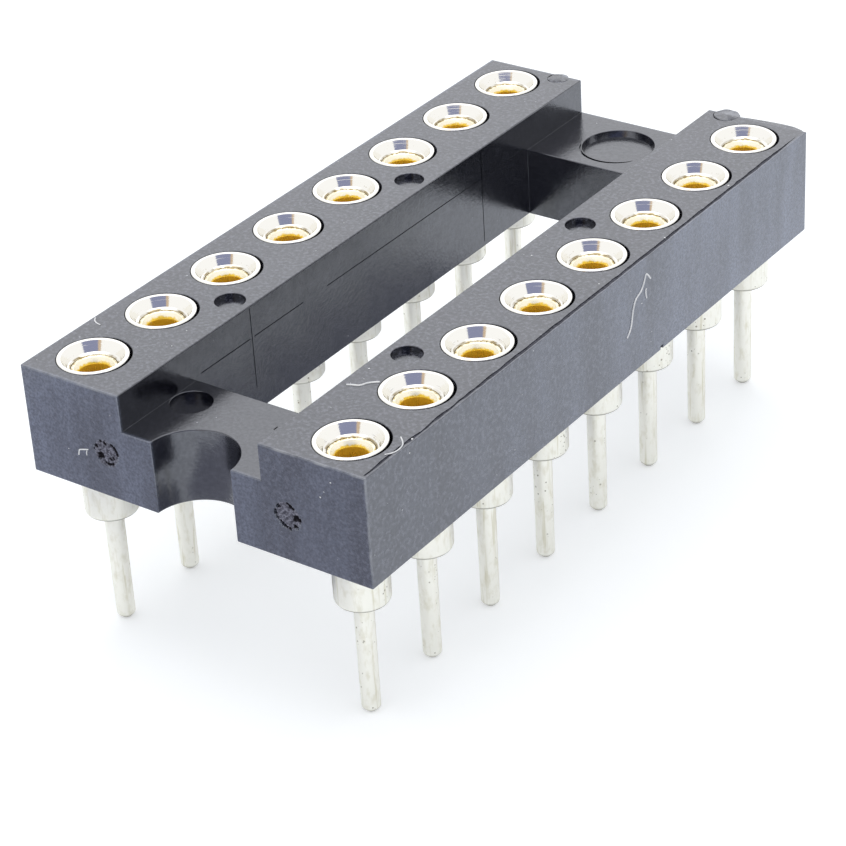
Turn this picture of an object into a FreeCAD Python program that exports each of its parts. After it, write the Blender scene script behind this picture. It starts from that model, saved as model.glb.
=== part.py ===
import FreeCAD, Part
import os

import Sketcher

# Turned-pin socket for a dual in-line package, in millimetres.
#
# A one-piece black moulding has two rails joined by a bridge at each end, round an open slot.
# Each rail carries a row of turned sleeves, pressed in from above until the head meets its seat.
# A four-finger clip lines each sleeve and grips the lead that goes in.
# Below the moulding each sleeve has a shoulder, which stands on the board, and a solder tail.
#
# The tips of the tails stand on z = 0, X runs across the two rows and Y along them.
# The origin is below the middle of the moulding, and the polarity notch is at the -Y end.

DRIVING_SIZES = {
    "contacts_per_row": 8,
    "pin_pitch": 2.54,
    "row_spacing": 7.62,
    "end_margin": 1.19,
    "side_margin": 1.26,
    "inner_margin": 1.746,
    "rail_height": 2.94,
    "bridge_drop": 0.98,
    "bridge_length": 2.83,
    "notch_radius": 1.18,
    "tail_length": 3.18,
    "tail_diameter": 0.50,
    "tip_diameter": 0.22,
    "tip_height": 0.14,
    "standoff": 1.37,
    "shoulder_diameter": 1.37,
    "head_diameter": 1.76,
    "head_height": 0.50,
    "head_proud": 0.02,
    "head_gap": 0.04,
    "body_clearance": 0.01,
    "rim_width": 0.10,
    "funnel_depth": 0.30,
    "clip_bore_diameter": 1.14,
    "clip_bore_depth": 3.55,
    "clip_clearance": 0.01,
    "throat_diameter": 0.76,
    "lead_in_depth": 0.13,
    "collar_length": 0.60,
    "finger_length": 1.90,
    "finger_thickness": 0.07,
    "finger_width": 0.30,
    "finger_opening": 0.36,
    "finger_embed": 0.05,
    "finger_inset": 0.03,
    "fingers": 4,
    "ejector_diameter": 0.82,
    "ejector_depth": 0.15,
    "ejector_inset": 0.60,
    "ejector_first_gap": 2,
    "ejector_pins_apart": 3,
    "ejector_pairs": 2,
    "near_recess_diameter": 1.04,
    "near_recess_depth": 0.20,
    "near_recess_inset": 0.87,
    "far_recess_diameter": 2.04,
    "far_recess_depth": 0.18,
}


class Size:
    """A length together with the sheet formula that gives it, so that each is written once."""

    def __init__(self, value, formula):
        self.value = value
        self.formula = formula

    def joined(self, sign, other, value):
        """The size that an arithmetic sign makes of this one and another size or number."""
        formula = other.formula if isinstance(other, Size) else str(other)
        return Size(value, f"({self.formula} {sign} {formula})")

    def __add__(self, other):
        return self.joined("+", other, self.value + number(other))

    def __sub__(self, other):
        return self.joined("-", other, self.value - number(other))

    def __mul__(self, other):
        return self.joined("*", other, self.value * number(other))

    def __truediv__(self, other):
        return self.joined("/", other, self.value / number(other))

    def __neg__(self):
        return Size(-self.value, f"(-1 * {self.formula})")


def number(value):
    """The plain number behind a size, or a number as it is."""
    return value.value if isinstance(value, Size) else value


def add_sheet(doc, sizes):
    """Write each driving size to the sheet with its alias, and return the sizes by name."""
    sheet = doc.addObject("Spreadsheet::Sheet", "Dimensions")
    for row, (alias, value) in enumerate(sizes.items(), start=1):
        sheet.set(f"A{row}", alias)
        sheet.set(f"B{row}", str(value))
        sheet.setAlias(f"B{row}", alias)
    doc.recompute()
    return {alias: Size(value, f"Dimensions.{alias}") for alias, value in sizes.items()}


def bind(feature, path, size):
    """Tie one property of a feature to a size, so that it follows the sheet."""
    feature.setExpression(path, size.formula)


def place(body, x, y, z):
    """Put a body at three distances from the origin, each a size or plain zero."""
    spot = FreeCAD.Vector(number(x), number(y), number(z))
    body.Placement = FreeCAD.Placement(spot, FreeCAD.Rotation())
    for axis, distance in zip("xyz", (x, y, z)):
        if isinstance(distance, Size):
            bind(body, f"Placement.Base.{axis}", distance)


def origin_feature(body, role):
    """A plane or axis of a body's own origin, by its role."""
    return next(f for f in body.Origin.OriginFeatures if f.Role == role)


def add_sketch(body, name, plane, height=None):
    """An empty sketch on one of the body's origin planes, raised to a height where one is given."""
    sketch = body.newObject("Sketcher::SketchObject", name)
    sketch.AttachmentSupport = [(origin_feature(body, plane), "")]
    sketch.MapMode = "FlatFace"
    if height is not None:
        sketch.AttachmentOffset = FreeCAD.Placement(FreeCAD.Vector(0, 0, height.value), FreeCAD.Rotation())
        bind(sketch, "AttachmentOffset.Base.z", height)
    return sketch


def dimension(sketch, kind, element, point, size):
    """Hold a point at a signed distance from the sketch's origin, or on its axis where that is zero."""
    if number(size) == 0:
        axis = -2 if kind == "DistanceX" else -1
        sketch.addConstraint(Sketcher.Constraint("PointOnObject", element, point, axis))
        return
    index = sketch.addConstraint(Sketcher.Constraint(kind, -1, 1, element, point, size.value))
    bind(sketch, f"Constraints[{index}]", size)


def draw_outline(sketch, points):
    """Close a straight-sided outline through points that are given as pairs of sizes."""
    corners = [FreeCAD.Vector(number(x), number(y), 0) for x, y in points]
    count = len(corners)
    for i in range(count):
        sketch.addGeometry(Part.LineSegment(corners[i], corners[(i + 1) % count]), False)
    for i in range(count):
        sketch.addConstraint(Sketcher.Constraint("Coincident", i, 2, (i + 1) % count, 1))
    for i, (x, y) in enumerate(points):
        dimension(sketch, "DistanceX", i, 1, x)
        dimension(sketch, "DistanceY", i, 1, y)


def draw_circle(sketch, x, y, radius):
    """A circle whose centre and radius follow their sizes."""
    centre = FreeCAD.Vector(number(x), number(y), 0)
    circle = sketch.addGeometry(Part.Circle(centre, FreeCAD.Vector(0, 0, 1), radius.value), False)
    dimension(sketch, "DistanceX", circle, 3, x)
    dimension(sketch, "DistanceY", circle, 3, y)
    index = sketch.addConstraint(Sketcher.Constraint("Radius", circle, radius.value))
    bind(sketch, f"Constraints[{index}]", radius)


def rectangle(half_width, half_length):
    """The corners of a rectangle about the sketch's origin."""
    return [
        (-half_width, -half_length),
        (half_width, -half_length),
        (half_width, half_length),
        (-half_width, half_length),
    ]


def pad(body, name, sketch, length):
    """Raise a sketch by a length."""
    feature = body.newObject("PartDesign::Pad", name)
    feature.Profile = sketch
    feature.Length = length.value
    bind(feature, "Length", length)
    return feature


def pocket(body, name, sketch, depth=None):
    """Cut a sketch down by a depth, or right through where none is given."""
    feature = body.newObject("PartDesign::Pocket", name)
    feature.Profile = sketch
    if depth is None:
        feature.Type = "ThroughAll"
        feature.SideType = "Two sides"
        feature.Type2 = "ThroughAll"
    else:
        feature.Length = depth.value
        bind(feature, "Length", depth)
    return feature


def repeat_along_rows(body, name, cuts, spacing, count):
    """Repeat cuts along Y, so many times at a spacing, and make the pattern the body's last feature."""
    pattern = body.newObject("PartDesign::LinearPattern", name)
    pattern.Originals = cuts
    pattern.Direction = (origin_feature(body, "Y_Axis"), [""])
    pattern.Mode = "Spacing"
    pattern.Offset = spacing.value
    bind(pattern, "Offset", spacing)
    pattern.Occurrences = count.value
    bind(pattern, "Occurrences", count)
    body.Tip = pattern
    return pattern


def revolve(body, name, points):
    """Turn a half section, in the XZ plane, once round the body's Z axis."""
    sketch = add_sketch(body, name + "Section", "XZ_Plane")
    draw_outline(sketch, points)
    feature = body.newObject("PartDesign::Revolution", name)
    feature.Profile = sketch
    feature.ReferenceAxis = (sketch, ["V_Axis"])
    feature.Angle = 360
    return feature


def build_housing(doc, s):
    """The moulding: two rails, two lower bridges, the slot, the notch and the sleeves' stepped holes."""
    body = doc.addObject("PartDesign::Body", "Housing")
    body.Label = "housing"
    place(body, 0, 0, s["tail_length"] + s["standoff"])

    row = s["row_spacing"] / 2
    half_row_length = s["pin_pitch"] * (s["contacts_per_row"] - 1) / 2
    half_width = row + s["side_margin"]
    half_length = half_row_length + s["end_margin"]
    half_slot = row - s["inner_margin"]
    top = s["rail_height"]
    bridge_top = top - s["bridge_drop"]

    block = add_sketch(body, "BlockOutline", "XY_Plane")
    draw_outline(block, rectangle(half_width, half_length))
    pad(body, "Block", block, top)

    channel = add_sketch(body, "ChannelOutline", "XY_Plane", top)
    draw_outline(channel, rectangle(half_slot, half_length))
    pocket(body, "Channel", channel, s["bridge_drop"])

    slot = add_sketch(body, "SlotOutline", "XY_Plane", bridge_top)
    draw_outline(slot, rectangle(half_slot, half_length - s["bridge_length"]))
    pocket(body, "Slot", slot)

    notch = add_sketch(body, "NotchOutline", "XY_Plane", bridge_top)
    draw_circle(notch, 0, -half_length, s["notch_radius"])
    pocket(body, "Notch", notch)

    seats = add_sketch(body, "HeadSeatCircles", "XY_Plane", top)
    holes = add_sketch(body, "SleeveHoleCircles", "XY_Plane", top)
    for side in (row, -row):
        draw_circle(seats, side, -half_row_length, s["head_diameter"] / 2 + s["head_gap"])
        draw_circle(holes, side, -half_row_length, s["shoulder_diameter"] / 2 + s["body_clearance"])
    seat_cut = pocket(body, "HeadSeats", seats, s["head_height"] - s["head_proud"])
    hole_cut = pocket(body, "SleeveHoles", holes)
    repeat_along_rows(body, "ContactRows", [seat_cut, hole_cut], s["pin_pitch"], s["contacts_per_row"])

    marks = add_sketch(body, "EjectorCircles", "XY_Plane", top)
    mark_x = half_slot + s["ejector_inset"]
    mark_y = s["pin_pitch"] * (s["ejector_first_gap"] - 0.5) - half_row_length
    for side in (mark_x, -mark_x):
        draw_circle(marks, side, mark_y, s["ejector_diameter"] / 2)
    mark_cut = pocket(body, "EjectorMarks", marks, s["ejector_depth"])
    mark_spacing = s["pin_pitch"] * s["ejector_pins_apart"]
    repeat_along_rows(body, "EjectorPairs", [mark_cut], mark_spacing, s["ejector_pairs"])

    near = add_sketch(body, "NearRecessCircle", "XY_Plane", bridge_top)
    near_radius = s["near_recess_diameter"] / 2
    near_y = s["bridge_length"] - s["near_recess_inset"] - half_length
    draw_circle(near, near_radius - half_slot, near_y, near_radius)
    pocket(body, "NearRecess", near, s["near_recess_depth"])

    far = add_sketch(body, "FarRecessCircle", "XY_Plane", bridge_top)
    draw_circle(far, 0, half_length - s["bridge_length"] / 2, s["far_recess_diameter"] / 2)
    pocket(body, "FarRecess", far, s["far_recess_depth"])
    return body


def contact_places(s):
    """The number, X and Y of each contact: up one row from the notch, then back down the other."""
    row = s["row_spacing"] / 2
    first = -(s["pin_pitch"] * (s["contacts_per_row"] - 1) / 2)
    per_row = s["contacts_per_row"].value
    for i in range(per_row):
        yield i + 1, row, first + s["pin_pitch"] * i
    for i in range(per_row):
        yield per_row + i + 1, -row, first + s["pin_pitch"] * (per_row - 1 - i)


def head_top(s):
    """The height of a sleeve's rim above the tips of the tails."""
    return s["tail_length"] + s["standoff"] + s["rail_height"] + s["head_proud"]


def build_sleeve(doc, s, label, x, y):
    """One turned sleeve: head with its funnel and clip bore, body, shoulder and solder tail."""
    body = doc.addObject("PartDesign::Body", "Sleeve")
    body.Label = label
    place(body, x, y, head_top(s))

    tip = -head_top(s)
    root = tip + s["tail_length"]
    seat = -s["head_height"]
    bore_end = -s["clip_bore_depth"]
    funnel_end = -s["funnel_depth"]
    tail = s["tail_diameter"] / 2
    shoulder = s["shoulder_diameter"] / 2
    head = s["head_diameter"] / 2
    bore = s["clip_bore_diameter"] / 2
    revolve(body, "Turning", [
        (0, tip),
        (s["tip_diameter"] / 2, tip),
        (tail, tip + s["tip_height"]),
        (tail, root),
        (shoulder, root),
        (shoulder, seat),
        (head, seat),
        (head, 0),
        (head - s["rim_width"], 0),
        (bore, funnel_end),
        (bore, bore_end),
        (0, bore_end),
    ])
    return body


def build_clip(doc, s, label, x, y):
    """One spring clip: a collar with its lead-in and throat, and fingers that close towards the axis."""
    body = doc.addObject("PartDesign::Body", "Clip")
    body.Label = label
    place(body, x, y, head_top(s) - s["funnel_depth"])

    throat = s["throat_diameter"] / 2
    rim = s["clip_bore_diameter"] / 2 - s["clip_clearance"]
    collar_end = -s["lead_in_depth"] - s["collar_length"]
    revolve(body, "Collar", [
        (rim, 0),
        (throat, -s["lead_in_depth"]),
        (throat, collar_end),
        (rim, collar_end),
    ])

    finger_end = collar_end - s["finger_length"]
    finger_top = collar_end + s["finger_embed"]
    inner_top = throat + s["finger_inset"]
    inner_end = s["finger_opening"] / 2
    leaf = add_sketch(body, "FingerSection", "XZ_Plane")
    draw_outline(leaf, [
        (inner_top, finger_top),
        (inner_end, finger_end),
        (inner_end + s["finger_thickness"], finger_end),
        (inner_top + s["finger_thickness"], finger_top),
    ])
    finger = pad(body, "Finger", leaf, s["finger_width"])
    finger.SideType = "Symmetric"
    ring = body.newObject("PartDesign::PolarPattern", "Fingers")
    ring.Originals = [finger]
    ring.Axis = (origin_feature(body, "Z_Axis"), [""])
    ring.Angle = 360
    ring.Occurrences = s["fingers"].value
    bind(ring, "Occurrences", s["fingers"])
    body.Tip = ring
    return body


def faults(doc, bodies):
    """What failed: any object in an error state, and any body whose shape is missing or not one valid solid."""
    found = []
    for item in doc.Objects:
        if "Invalid" in item.State or "Error" in item.State:
            found.append(f"{item.Label}: {item.State}")
    for body in bodies:
        if body.Shape.isNull() or not body.Shape.isValid() or len(body.Shape.Solids) != 1:
            found.append(f"{body.Label}: not one valid solid")
    return found


def main():
    """Build every piece, check it and write it to its own file."""
    doc = FreeCAD.newDocument("TurnedPinSocket")
    sizes = add_sheet(doc, DRIVING_SIZES)
    bodies = [build_housing(doc, sizes)]
    for index, x, y in contact_places(sizes):
        bodies.append(build_sleeve(doc, sizes, f"sleeve_{index:02d}", x, y))
        bodies.append(build_clip(doc, sizes, f"clip_{index:02d}", x, y))
    doc.recompute()

    problems = faults(doc, bodies)
    if problems:
        raise RuntimeError("; ".join(problems))
    os.makedirs("parts", exist_ok=True)
    for body in bodies:
        body.Shape.exportStep(os.path.join("parts", body.Label + ".step"))
        print(f"{body.Label}: {body.Shape.Volume:.3f} mm3")


main()
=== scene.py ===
import logging
import math
import random
from dataclasses import dataclass
from enum import Enum
from itertools import product
from typing import Iterable, Optional, Sequence, Union

import bmesh
import bpy
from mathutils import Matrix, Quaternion, Vector, noise


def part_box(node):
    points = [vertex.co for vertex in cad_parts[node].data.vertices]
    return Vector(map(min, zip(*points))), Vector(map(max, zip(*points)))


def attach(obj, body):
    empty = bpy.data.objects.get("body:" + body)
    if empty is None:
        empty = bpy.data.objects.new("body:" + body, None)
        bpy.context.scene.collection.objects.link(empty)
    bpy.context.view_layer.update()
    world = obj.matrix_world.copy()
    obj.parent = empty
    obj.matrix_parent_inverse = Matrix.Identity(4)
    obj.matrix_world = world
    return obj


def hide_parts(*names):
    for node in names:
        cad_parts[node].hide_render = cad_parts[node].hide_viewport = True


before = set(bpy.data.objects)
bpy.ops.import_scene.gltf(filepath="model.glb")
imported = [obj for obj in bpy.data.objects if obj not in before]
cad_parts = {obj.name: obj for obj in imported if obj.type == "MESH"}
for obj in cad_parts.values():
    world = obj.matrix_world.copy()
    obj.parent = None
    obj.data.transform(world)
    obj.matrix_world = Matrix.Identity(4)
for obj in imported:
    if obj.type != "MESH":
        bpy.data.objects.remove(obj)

# Every size is in millimetres, and heights count from the tips of the tails.
# A mesh is built at that size and brought to metres when it is finished, so that cuts stay exact.
METRES_PER_MM = 0.001
ROOT = "root"
LOG = logging.getLogger("socket")

# How many straight pieces the arc of a hole's lip has.
LIP_STEPS = 4
# Edges that turn by more than this stay sharp.
SHARP_DEGREES = 35.0
# How far a plain cutter reaches past the form that it cuts, and how far a finer one does.
SPARE = 0.5
FINE_SPARE = 0.1
# The radius of the pocket that a torn gate sits in.
POCKET = 0.4
# How much wider each pit of a torn gate is than its radius says.
PIT_WIDTH = 1.05

Colour = tuple[float, float, float]
Point = tuple[float, float, float]
Place = tuple[float, float]
# A pit or lip of a torn gate: its place across and up, its radius, and its depth or height.
Mark = tuple[float, float, float, float]
Item = bpy.types.Object
Material = bpy.types.Material
Mesh = bpy.types.Mesh
Socket = bpy.types.NodeSocket
Inputs = dict[Union[str, int], object]


class Joining(Enum):
    """How a second solid changes a first one."""

    CUT = "DIFFERENCE"
    ADD = "UNION"


class Slot(Enum):
    """The record's material slots."""

    MOULDING = "moulding"
    SLEEVE = "sleeve_plate"
    CLIP = "clip_plate"


@dataclass(frozen=True)
class Contact:
    """One contact: its number and the place of its axis."""

    number: int
    x: float
    y: float

    @property
    def sleeve(self) -> str:
        """The name of the node that holds its sleeve."""
        return f"sleeve_{self.number:02d}"

    @property
    def clip(self) -> str:
        """The name of the node that holds its clip."""
        return f"clip_{self.number:02d}"


@dataclass(frozen=True)
class Corner:
    """A corner of a turned outline: its radius, its height and how far it is rounded."""

    radius: float
    height: float
    rounding: float = 0.0


def node_box(node: str) -> tuple[Vector, Vector]:
    """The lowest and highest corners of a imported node.

    Args:
        node: The node's name.

    Returns:
        Two corners in millimetres.
    """
    low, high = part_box(node)
    return Vector(low) / METRES_PER_MM, Vector(high) / METRES_PER_MM


def read_contacts() -> list[Contact]:
    """Find every contact in the frame.

    Returns:
        The contacts in the order of their numbers.
    """
    contacts = []
    for name in sorted(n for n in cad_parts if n.startswith("sleeve_")):
        low, high = node_box(name)
        middle = (low + high) / 2
        contacts.append(Contact(int(name.split("_")[1]), middle.x, middle.y))
    return contacts


def linked(name: str, data: bpy.types.ID) -> Item:
    """Put data into the scene as an object.

    Args:
        name: The object's name.
        data: The mesh, curve, lamp or camera that it holds.

    Returns:
        The new object.
    """
    item = bpy.data.objects.new(name, data)
    bpy.context.scene.collection.objects.link(item)
    return item


def plain_mesh(item: Item) -> Mesh:
    """Take an object's mesh with its modifiers applied, and delete the object.

    Args:
        item: The object.

    Returns:
        A mesh of its own, with no modifier behind it.
    """
    graph = bpy.context.evaluated_depsgraph_get()
    mesh = bpy.data.meshes.new_from_object(item.evaluated_get(graph), depsgraph=graph)
    bpy.data.objects.remove(item)
    return mesh


def combined(base: Mesh, tool: Mesh, how: Joining) -> Mesh:
    """Cut one closed mesh out of another, or add it.

    Args:
        base: The mesh to change.
        tool: The mesh to take away or add.
        how: Whether to cut or to add.

    Returns:
        The result as a new mesh.
    """
    target = linked("base", base)
    cutter = linked("tool", tool)
    modifier = target.modifiers.new("change", "BOOLEAN")
    modifier.operation = how.value
    modifier.solver = "EXACT"
    modifier.object = cutter
    result = plain_mesh(target)
    bpy.data.objects.remove(cutter)
    return result


def lofted(name: str, rings: Sequence[Sequence[Point]]) -> Mesh:
    """Join rings of points into a closed skin, with a cap at each end.

    Args:
        name: The mesh's name.
        rings: The rings in order, each with as many points.

    Returns:
        The closed mesh.
    """
    shape = bmesh.new()
    loops = [[shape.verts.new(point) for point in ring] for ring in rings]
    for one, two in zip(loops, loops[1:]):
        for i in range(len(one)):
            shape.faces.new((one[i], one[i - 1], two[i - 1], two[i]))
    shape.faces.new(loops[0])
    shape.faces.new(loops[-1])
    return closed(name, shape)


def closed(name: str, shape: bmesh.types.BMesh) -> Mesh:
    """Turn a closed shape's faces outwards and keep it as a mesh."""
    bmesh.ops.recalc_face_normals(shape, faces=shape.faces)
    return meshed(name, shape)


def meshed(name: str, shape: bmesh.types.BMesh) -> Mesh:
    """Keep a shape as a mesh.

    Args:
        name: The mesh's name.
        shape: The shape, which is used up.

    Returns:
        The mesh.
    """
    mesh = bpy.data.meshes.new(name)
    shape.to_mesh(mesh)
    shape.free()
    return mesh


def joined(meshes: Iterable[Mesh]) -> Mesh:
    """Gather meshes into one, with their faces turned outwards.

    Args:
        meshes: The meshes, each of closed shells.

    Returns:
        One mesh that holds them all.
    """
    whole = bmesh.new()
    for mesh in meshes:
        whole.from_mesh(mesh)
    return closed("joined", whole)


def block(low: Point, high: Point) -> Mesh:
    """A plain box.

    Args:
        low: Its lowest corner.
        high: Its highest corner.

    Returns:
        The closed mesh.
    """
    corners = ((low[0], low[1]), (high[0], low[1]), (high[0], high[1]), (low[0], high[1]))
    return lofted("block", [[(x, y, z) for x, y in corners] for z in (low[2], high[2])])


def slot_corners(middle: float, half: float, depth: float) -> list[Place]:
    """The section of a fine groove's cutter, as places across the groove and above the face."""
    near, far = middle - half, middle + half
    return [(near, -depth), (far, -depth), (far, FINE_SPARE), (near, FINE_SPARE)]


def arc_at(before: Corner, corner: Corner, after: Corner, steps: int) -> list[Place]:
    """Round one corner of an outline.

    Args:
        before: The corner before it.
        corner: The corner to round.
        after: The corner after it.
        steps: How many straight pieces the arc has.

    Returns:
        Pairs of radius and height along the arc, or the corner alone where it is sharp.
    """
    here = Vector((corner.radius, corner.height))
    if corner.rounding == 0.0:
        return [(here.x, here.y)]
    one = (Vector((before.radius, before.height)) - here).normalized()
    two = (Vector((after.radius, after.height)) - here).normalized()
    half = one.angle(two) / 2
    reach = corner.rounding / math.tan(half)
    centre = here + (one + two).normalized() * (corner.rounding / math.sin(half))
    start = here + one * reach - centre
    finish = here + two * reach - centre
    sweep = math.pi - 2 * half
    side = 1.0 if start.x * finish.y - start.y * finish.x > 0 else -1.0
    points = []
    for step in range(steps + 1):
        angle = side * sweep * step / steps
        points.append((
            centre.x + start.x * math.cos(angle) - start.y * math.sin(angle),
            centre.y + start.x * math.sin(angle) + start.y * math.cos(angle),
        ))
    return points


def outline(corners: Sequence[Corner], steps: int = 4) -> list[Place]:
    """Round every inner corner of an open outline.

    Args:
        corners: The corners in order.
        steps: How many straight pieces each arc has.

    Returns:
        Pairs of radius and height.
    """
    points = [(corners[0].radius, corners[0].height)]
    for before, corner, after in zip(corners, corners[1:], corners[2:]):
        points += arc_at(before, corner, after, steps)
    points.append((corners[-1].radius, corners[-1].height))
    return points


def new_material(name: str) -> Material:
    """Start a material that is made of nodes."""
    material = bpy.data.materials.new(name)
    material.use_nodes = True
    return material


class Nodes:
    """A tree of nodes, built node by node."""

    def __init__(self, tree: bpy.types.NodeTree) -> None:
        """Start on a tree, with nothing in it."""
        self.tree = tree
        tree.nodes.clear()

    def feed(self, node: bpy.types.Node, inputs: Inputs) -> None:
        """Set or link a node's inputs.

        Args:
            node: The node.
            inputs: A value or a linked socket for each input, by its name or number.
        """
        for key, value in inputs.items():
            socket = node.inputs[key]
            if isinstance(value, Socket):
                self.tree.links.new(value, socket)
            elif socket.type == "RGBA":
                socket.default_value = (*value, 1.0)
            else:
                socket.default_value = value

    def add(self, kind: str, inputs: Inputs, **settings: object) -> bpy.types.Node:
        """Add a node.

        Args:
            kind: The node's type.
            inputs: What feeds its inputs.
            **settings: The node's own settings.

        Returns:
            The node.
        """
        node = self.tree.nodes.new(kind)
        for key, value in settings.items():
            setattr(node, key, value)
        self.feed(node, inputs)
        return node

    def sum(self, operation: str, first: object, second: object = 0.0, third: object = 0.0) -> Socket:
        """Do a sum on numbers or sockets, and give its result as a socket."""
        return self.add("ShaderNodeMath", {0: first, 1: second, 2: third}, operation=operation).outputs[0]


class NodeTree(Nodes):
    """A tree of Geometry Nodes with named inputs."""

    def __init__(self, name: str, inputs: dict[str, str]) -> None:
        """Start a tree.

        Args:
            name: The tree's name.
            inputs: The kind of socket of each named input.
        """
        super().__init__(bpy.data.node_groups.new(name, "GeometryNodeTree"))
        sockets = self.tree.interface
        for label, kind in inputs.items():
            sockets.new_socket(label, in_out="INPUT", socket_type=f"NodeSocket{kind}")
        sockets.new_socket("Geometry", in_out="OUTPUT", socket_type="NodeSocketGeometry")
        self.given = self.add("NodeGroupInput", {}).outputs

    def geometry(self, label: str) -> Socket:
        """The geometry of the object that a named input holds."""
        return self.add("GeometryNodeObjectInfo", {"Object": self.given[label]}).outputs["Geometry"]

    def copies(self, points: Socket, **inputs: Socket) -> Socket:
        """Stand a copy of the input named Piece on each point."""
        given = {"Points": points, "Instance": self.geometry("Piece"), **inputs}
        return self.add("GeometryNodeInstanceOnPoints", given).outputs[0]

    def close(self, geometry: Socket) -> None:
        """End the tree by making its copies real and giving them their material.

        Args:
            geometry: The last geometry before the end.
        """
        real = self.add("GeometryNodeRealizeInstances", {"Geometry": geometry}).outputs[0]
        dressed = self.add("GeometryNodeSetMaterial", {"Geometry": real, "Material": self.given["Material"]})
        self.add("NodeGroupOutput", {"Geometry": dressed.outputs[0]})

    def run(self, name: str, values: dict[str, object]) -> Mesh:
        """Evaluate the tree once.

        Args:
            name: A name for the result.
            values: A value for each named input.

        Returns:
            The result as a plain mesh.
        """
        holder = linked(name, bpy.data.meshes.new(name))
        modifier = holder.modifiers.new(name, "NODES")
        modifier.node_group = self.tree
        for item in self.tree.interface.items_tree:
            if item.in_out == "INPUT":
                modifier[item.identifier] = values[item.name]
        return plain_mesh(holder)


class Turning:
    """Turns an outline once round an upright axis, as a lathe does."""

    def __init__(self) -> None:
        """Build the tree: a grid of points, each moved to its radius, height and angle."""
        tree = NodeTree("turned_piece", {
            "Profile": "Object", "Segments": "Int", "Axis": "Vector", "Material": "Material",
        })
        profile = tree.geometry("Profile")
        size = tree.add("GeometryNodeAttributeDomainSize", {"Geometry": profile}, component="MESH")
        columns = tree.sum("ADD", tree.given["Segments"], 1.0)
        rows = size.outputs["Point Count"]
        grid = tree.add("GeometryNodeMeshGrid", {"Vertices X": rows, "Vertices Y": columns}).outputs["Mesh"]
        index = tree.add("GeometryNodeInputIndex", {}).outputs[0]
        row = tree.sum("FLOOR", tree.sum("DIVIDE", tree.sum("ADD", index, 0.5), columns))
        column = tree.sum("SUBTRACT", index, tree.sum("MULTIPLY", row, columns))
        place = tree.add("GeometryNodeSampleIndex", {
            "Geometry": profile,
            "Value": tree.add("GeometryNodeInputPosition", {}).outputs[0],
            "Index": row,
        }, data_type="FLOAT_VECTOR", domain="POINT")
        radius, _, height = tree.add("ShaderNodeSeparateXYZ", {0: place.outputs[0]}).outputs
        turn = tree.sum("MULTIPLY", column, tree.sum("DIVIDE", math.tau, tree.given["Segments"]))
        spot = tree.add("ShaderNodeCombineXYZ", {
            "X": tree.sum("MULTIPLY", radius, tree.sum("COSINE", turn)),
            "Y": tree.sum("MULTIPLY", radius, tree.sum("SINE", turn)),
            "Z": height,
        })
        moved = tree.add("ShaderNodeVectorMath", {0: spot.outputs[0], 1: tree.given["Axis"]}, operation="ADD")
        shaped = tree.add("GeometryNodeSetPosition", {"Geometry": grid, "Position": moved.outputs[0]})
        merged = tree.add("GeometryNodeMergeByDistance", {"Geometry": shaped.outputs[0], "Distance": 1e-5})
        tree.close(merged.outputs[0])
        self.tree = tree

    def turned(
        self, name: str, points: Sequence[Place], axis: Place = (0.0, 0.0), segments: int = 96,
        material: Optional[Material] = None,
    ) -> Mesh:
        """Turn an outline.

        Args:
            name: A name for the mesh.
            points: Pairs of radius and height.
            axis: Where the axis stands.
            segments: How many flat pieces make one round.
            material: What the piece is finished in.

        Returns:
            A closed mesh with its faces outwards.
        """
        line = bpy.data.meshes.new(name)
        line.from_pydata([(r, 0.0, z) for r, z in points], [(i, i + 1) for i in range(len(points) - 1)], [])
        profile = linked(name + "_profile", line)
        mesh = self.tree.run(name, {
            "Profile": profile, "Segments": segments, "Axis": (axis[0], axis[1], 0.0), "Material": material,
        })
        bpy.data.objects.remove(profile)
        return joined([mesh])


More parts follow.
